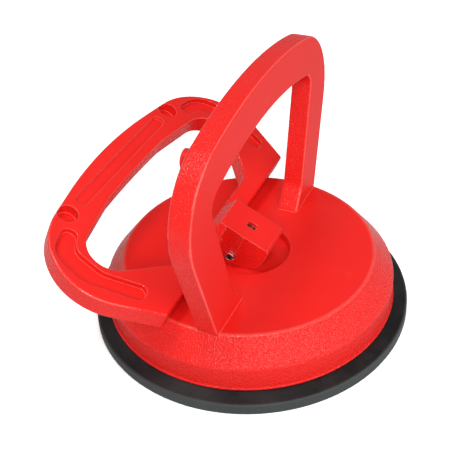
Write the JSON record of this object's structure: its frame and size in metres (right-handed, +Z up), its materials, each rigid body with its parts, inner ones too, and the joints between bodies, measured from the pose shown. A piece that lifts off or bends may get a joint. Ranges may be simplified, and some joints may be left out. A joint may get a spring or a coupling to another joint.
{
  "type": "floor tile suction lifter",
  "caption": "Hand suction lifter for raised floor tiles: rubber pad under a round moulded housing, fixed upright handle, and a cam lever that pulls the pad's centre up.",
  "frame": {"origin": "centre of the rubber pad's resting face", "axes": "+Z up from the floor; +Y along the lever's pivot pin; +X from the lever towards the fixed handle"},
  "size_m": [0.1207, 0.1242, 0.0987],
  "materials": {
    "red_moulding": "satin, fine grain",
    "pin_steel": "bright",
    "stem_steel": "dull zinc",
    "pad_rubber": "matt"
  },
  "bodies": {
    "base": {"housing": "red_moulding", "suction_pad": "pad_rubber", "return_spring": "pin_steel"},
    "stem": {"pull_stem": "stem_steel", "pad_plate": "stem_steel"},
    "lever": {"lever_handle": "red_moulding", "pivot_pin": "pin_steel"}
  },
  "joints": [
    {"name": "stem_lift", "type": "slide", "parent": "base", "child": "stem", "axis": [0, 0, 1], "range_m": [0, 0.007], "deforming": ["return_spring"]},
    {"name": "lever_pivot", "type": "hinge", "parent": "stem", "child": "lever", "pos_m": [-0.004, 0, 0.0258], "axis": [0, 1, 0], "range_deg": [0, 64], "stiffness_Nm_per_rad": 0.0157, "springref_deg": -45.84}
  ],
  "couplings": [
    {"joint": "stem_lift", "follows": "lever_pivot", "m_per_rad": 0.006267}
  ]
}
